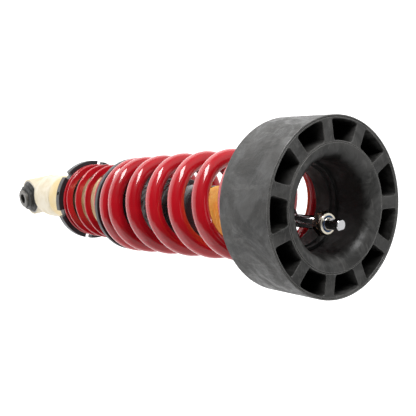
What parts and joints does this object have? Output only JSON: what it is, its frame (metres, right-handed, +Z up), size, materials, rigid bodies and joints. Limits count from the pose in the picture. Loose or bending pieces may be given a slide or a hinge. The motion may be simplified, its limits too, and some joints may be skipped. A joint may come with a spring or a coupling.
{
  "type": "coil-over strut assembly",
  "caption": "Coil-over suspension strut with a main and a helper spring, a threaded perch, a rubber-bushed lower eye and a moulded rubber upper isolator.",
  "frame": {"origin": "middle of the piston rod's top end face, on the damper's axis", "axes": "+Z up the strut from the lower eye to the upper isolator; the lower bush lies along Y"},
  "size_m": [0.15, 0.15, 0.5996],
  "materials": {
    "pale_zinc": "satin zinc plate, pale",
    "gold_zinc": "yellow zinc plate over a fine thread",
    "red_coat": "gloss powder coat",
    "black_alloy": "black anodised",
    "black_rubber": "moulded, matt",
    "black_plastic": "satin",
    "yellow_foam": "cellular foam, satin",
    "chrome": "polished",
    "steel": "machined",
    "bronze": "sintered",
    "blue_nylon": "satin"
  },
  "bodies": {
    "damper": {"lower_mount": "pale_zinc", "bush_shell": "steel", "bush_rubber": "black_rubber", "body_tube": "gold_zinc", "pressure_tube": "steel", "base_valve": "steel", "base_valve_disc": "steel", "base_valve_bolt": "steel", "rod_guide": "steel", "guide_bush": "bronze", "seal_cap": "black_alloy", "cap_seal_ring": "black_rubber", "rod_seal": "black_rubber", "rod_wiper": "black_rubber", "body_sleeve": "black_rubber", "bump_stop": "yellow_foam"},
    "bush_core": {"bush_sleeve": "steel"},
    "rod_carrier": {"shoulder_washer": "black_alloy"},
    "rod": {"piston_rod": "chrome", "piston": "steel", "piston_band": "black_plastic", "compression_shims": "steel", "rebound_shims": "steel", "piston_nut": "steel", "rebound_stop": "yellow_foam", "top_nut": "steel", "nylon_insert": "blue_nylon"},
    "helper_stack": {"helper_spring": "red_coat"},
    "perch_ring": {"perch": "black_alloy", "perch_screw": "steel"},
    "coupler_stack": {"coupler": "black_alloy", "main_spring": "red_coat"},
    "isolator": {"upper_isolator": "black_rubber"}
  },
  "joints": [
    {"name": "bush_twist", "type": "hinge", "parent": "damper", "child": "bush_core", "pos_m": [0, 0, -0.5726], "axis": [0, 1, 0], "range_deg": [-20, 20]},
    {"name": "rod_travel", "type": "slide", "parent": "damper", "child": "rod_carrier", "axis": [0, 0, -1], "range_m": [0, 0.08], "deforming": ["bump_stop"]},
    {"name": "rod_spin", "type": "hinge", "parent": "rod_carrier", "child": "rod", "pos_m": [0, 0, -0.2726], "axis": [0, 0, 1], "continuous": true},
    {"name": "perch_lift", "type": "slide", "parent": "damper", "child": "helper_stack", "axis": [0, 0, 1], "range_m": [-0.0151, 0.0151]},
    {"name": "perch_turn", "type": "hinge", "parent": "helper_stack", "child": "perch_ring", "pos_m": [0, 0, -0.4246], "axis": [0, 0, 1], "range_deg": [-2700, 2700]},
    {"name": "helper_travel", "type": "slide", "parent": "helper_stack", "child": "coupler_stack", "axis": [0, 0, -1], "range_m": [0, 0.03], "deforming": ["helper_spring"]},
    {"name": "spring_travel", "type": "slide", "parent": "coupler_stack", "child": "isolator", "axis": [0.2951, 0.0838, -0.9518], "range_m": [0, 0.0525], "deforming": ["main_spring"]}
  ],
  "couplings": [
    {"joint": "rod_travel", "follows": "spring_travel", "ratio": 1.5229},
    {"joint": "helper_travel", "follows": "spring_travel", "ratio": 0.57108},
    {"joint": "perch_lift", "follows": "perch_turn", "m_per_rad": 0.00031831}
  ]
}
